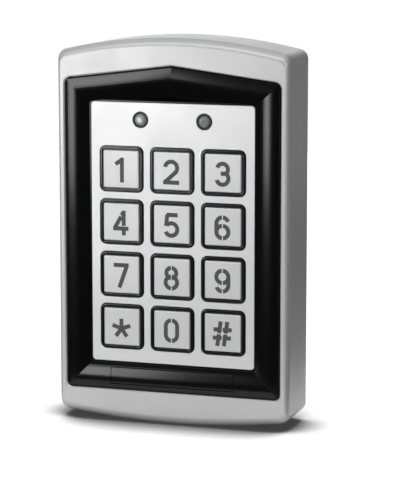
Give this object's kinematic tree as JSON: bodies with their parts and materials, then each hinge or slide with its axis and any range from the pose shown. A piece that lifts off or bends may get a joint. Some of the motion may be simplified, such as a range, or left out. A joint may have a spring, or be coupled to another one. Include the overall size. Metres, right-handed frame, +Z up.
{
  "type": "keypad access reader",
  "caption": "Wall-hung keypad access reader: die-cast housing with a gabled black bezel, metal keys that travel, lamps, card coil and a hooked wall plate.",
  "frame": {"origin": "middle of the housing's back, on the wall plane", "axes": "+Y into the wall, so the keys face -Y; +Z up; +X to the right as seen from the front"},
  "size_m": [0.075, 0.021, 0.1204],
  "materials": {
    "housing_paint": "satin silver paint over die-cast zinc",
    "bezel_plastic": "semi-gloss black moulded ABS",
    "insert_plastic": "semi-gloss black ABS, bare",
    "faceplate_metal": "fine satin silver",
    "key_metal": "satin chrome-plated zinc",
    "collar_silicone": "black silicone rubber",
    "dome_silicone": "grey silicone rubber",
    "seal_rubber": "black rubber",
    "gold_contacts": "gold-plated copper",
    "lamp_lens": "clear grey epoxy",
    "holder_plastic": "black nylon",
    "circuit_board": "green solder mask over glass-epoxy board",
    "copper_wire": "enamelled copper winding",
    "chip_plastic": "moulded epoxy",
    "relay_plastic": "moulded blue case",
    "terminal_plastic": "moulded green nylon",
    "can_aluminium": "sleeved aluminium can",
    "cell_ceramic": "coated ceramic disc",
    "plate_steel": "zinc-plated sheet steel",
    "screw_steel": "zinc-plated steel"
  },
  "bodies": {
    "reader": {"housing": "housing_paint", "bezel_seal": "seal_rubber", "bezel": "bezel_plastic", "name_insert": "insert_plastic", "faceplate": "faceplate_metal", "keypad_mat": "collar_silicone", "dome_1": "dome_silicone", "dome_2": "dome_silicone", "dome_3": "dome_silicone", "dome_4": "dome_silicone", "dome_5": "dome_silicone", "dome_6": "dome_silicone", "dome_7": "dome_silicone", "dome_8": "dome_silicone", "dome_9": "dome_silicone", "dome_star": "dome_silicone", "dome_0": "dome_silicone", "dome_hash": "dome_silicone", "contact_pads": "gold_contacts", "led_left": "lamp_lens", "led_right": "lamp_lens", "led_holders": "holder_plastic", "main_board": "circuit_board", "antenna_coil": "copper_wire", "controller_chip": "chip_plastic", "buzzer": "chip_plastic", "relay": "relay_plastic", "terminal_block": "terminal_plastic", "capacitors": "can_aluminium", "tamper_sensor": "cell_ceramic", "back_plate": "plate_steel", "cable_grommet": "seal_rubber", "board_screws": "screw_steel", "bezel_screws": "screw_steel", "security_screw": "screw_steel"},
    "key_1_body": {"key_1": "key_metal"},
    "key_2_body": {"key_2": "key_metal"},
    "key_3_body": {"key_3": "key_metal"},
    "key_4_body": {"key_4": "key_metal"},
    "key_5_body": {"key_5": "key_metal"},
    "key_6_body": {"key_6": "key_metal"},
    "key_7_body": {"key_7": "key_metal"},
    "key_8_body": {"key_8": "key_metal"},
    "key_9_body": {"key_9": "key_metal"},
    "key_star_body": {"key_star": "key_metal"},
    "key_0_body": {"key_0": "key_metal"},
    "key_hash_body": {"key_hash": "key_metal"}
  },
  "joints": [
    {"name": "key_1_press", "type": "slide", "parent": "reader", "child": "key_1_body", "axis": [0, 1, 0], "range_m": [0, 0.001], "stiffness_N_per_m": 1500, "deforming": ["dome_1"]},
    {"name": "key_2_press", "type": "slide", "parent": "reader", "child": "key_2_body", "axis": [0, 1, 0], "range_m": [0, 0.001], "stiffness_N_per_m": 1500, "deforming": ["dome_2"]},
    {"name": "key_3_press", "type": "slide", "parent": "reader", "child": "key_3_body", "axis": [0, 1, 0], "range_m": [0, 0.001], "stiffness_N_per_m": 1500, "deforming": ["dome_3"]},
    {"name": "key_4_press", "type": "slide", "parent": "reader", "child": "key_4_body", "axis": [0, 1, 0], "range_m": [0, 0.001], "stiffness_N_per_m": 1500, "deforming": ["dome_4"]},
    {"name": "key_5_press", "type": "slide", "parent": "reader", "child": "key_5_body", "axis": [0, 1, 0], "range_m": [0, 0.001], "stiffness_N_per_m": 1500, "deforming": ["dome_5"]},
    {"name": "key_6_press", "type": "slide", "parent": "reader", "child": "key_6_body", "axis": [0, 1, 0], "range_m": [0, 0.001], "stiffness_N_per_m": 1500, "deforming": ["dome_6"]},
    {"name": "key_7_press", "type": "slide", "parent": "reader", "child": "key_7_body", "axis": [0, 1, 0], "range_m": [0, 0.001], "stiffness_N_per_m": 1500, "deforming": ["dome_7"]},
    {"name": "key_8_press", "type": "slide", "parent": "reader", "child": "key_8_body", "axis": [0, 1, 0], "range_m": [0, 0.001], "stiffness_N_per_m": 1500, "deforming": ["dome_8"]},
    {"name": "key_9_press", "type": "slide", "parent": "reader", "child": "key_9_body", "axis": [0, 1, 0], "range_m": [0, 0.001], "stiffness_N_per_m": 1500, "deforming": ["dome_9"]},
    {"name": "key_star_press", "type": "slide", "parent": "reader", "child": "key_star_body", "axis": [0, 1, 0], "range_m": [0, 0.001], "stiffness_N_per_m": 1500, "deforming": ["dome_star"]},
    {"name": "key_0_press", "type": "slide", "parent": "reader", "child": "key_0_body", "axis": [0, 1, 0], "range_m": [0, 0.001], "stiffness_N_per_m": 1500, "deforming": ["dome_0"]},
    {"name": "key_hash_press", "type": "slide", "parent": "reader", "child": "key_hash_body", "axis": [0, 1, 0], "range_m": [0, 0.001], "stiffness_N_per_m": 1500, "deforming": ["dome_hash"]}
  ]
}
